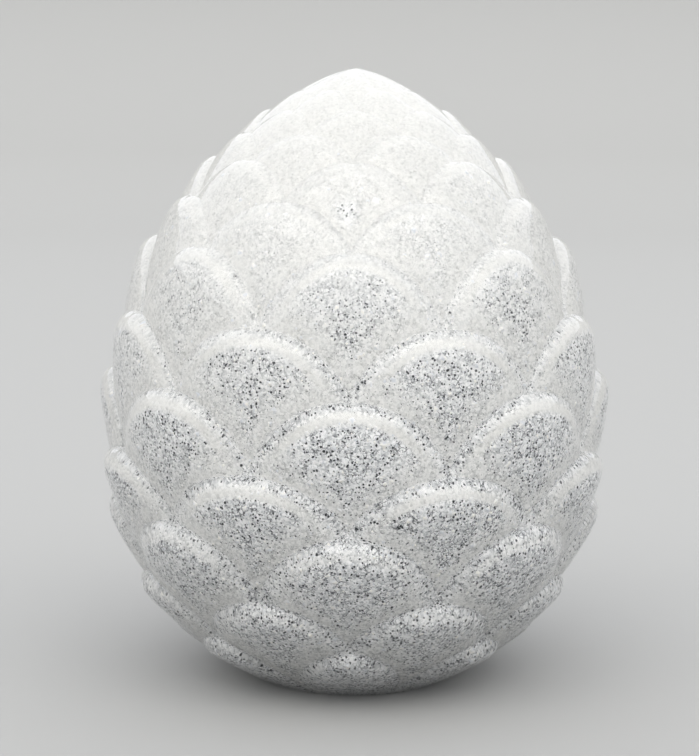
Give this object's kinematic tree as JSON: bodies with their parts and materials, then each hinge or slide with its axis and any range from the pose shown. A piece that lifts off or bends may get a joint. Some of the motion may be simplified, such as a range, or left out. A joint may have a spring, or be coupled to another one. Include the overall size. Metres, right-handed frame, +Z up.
{
  "type": "glass artichoke ornament",
  "caption": "Egg-shaped blown glass ornament carved like an artichoke, with rows of overlapping rounded bracts, standing on a small flat foot.",
  "frame": {"origin": "centre of the flat foot, at the bottom of the object", "axes": "+Z up from the foot to the crown; a bract of every second row faces -Y"},
  "size_m": [0.1348, 0.1348, 0.16],
  "materials": {
    "speckled_glass": "glossy clear glass over a thick layer of crushed white glass"
  },
  "bodies": {
    "root": {"glass_artichoke": "speckled_glass"}
  },
  "joints": []
}
